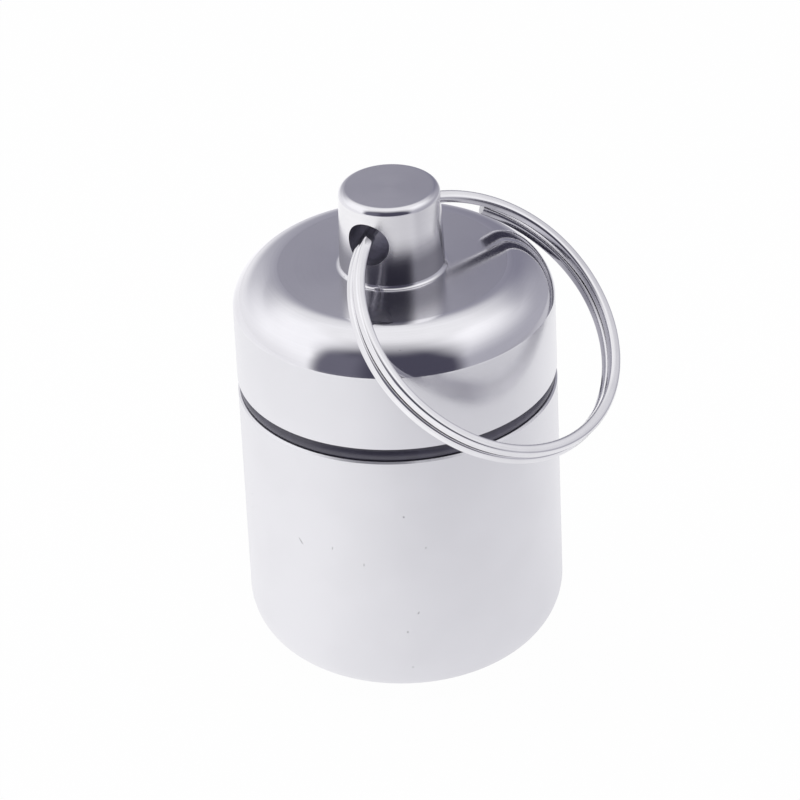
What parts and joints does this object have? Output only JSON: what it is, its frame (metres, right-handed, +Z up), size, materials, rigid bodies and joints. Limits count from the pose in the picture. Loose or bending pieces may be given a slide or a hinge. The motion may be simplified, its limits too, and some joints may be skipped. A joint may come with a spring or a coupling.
{
  "type": "key-ring pill capsule",
  "caption": "Small turned metal capsule with a screw cap, a rubber seal in the joint and a split ring through the cap's knob, for carrying pills.",
  "frame": {"origin": "centre of the cup's flat base", "axes": "+Z up the capsule's axis, from the base to the knob; the split ring leans towards +X and -Y"},
  "size_m": [0.0309, 0.0306, 0.0413],
  "materials": {
    "cup_metal": "satin turned wall",
    "cap_metal": "satin turned wall under a polished dome, top and knob",
    "seal_rubber": "smooth moulded",
    "ring_steel": "bright nickel plate"
  },
  "bodies": {
    "cup": {"cup": "cup_metal"},
    "seal": {"o_ring": "seal_rubber"},
    "cap": {"cap": "cap_metal"},
    "split_ring": {"split_ring": "ring_steel"}
  },
  "joints": [
    {"name": "cap_turn", "type": "hinge", "parent": "cup", "child": "seal", "pos_m": [0, 0, 0.0246], "axis": [0, 0, 1], "range_deg": [0, 1890]},
    {"name": "cap_rise", "type": "slide", "parent": "seal", "child": "cap", "axis": [0, 0, 1], "range_m": [0, 0.00526]},
    {"name": "ring_swing", "type": "hinge", "parent": "cap", "child": "split_ring", "pos_m": [0, 0, 0.0381], "axis": [-0.4741, -0.8805, 0], "range_deg": [0, 231]}
  ],
  "couplings": [
    {"joint": "cap_rise", "follows": "cap_turn", "m_per_rad": 0.00015915}
  ]
}
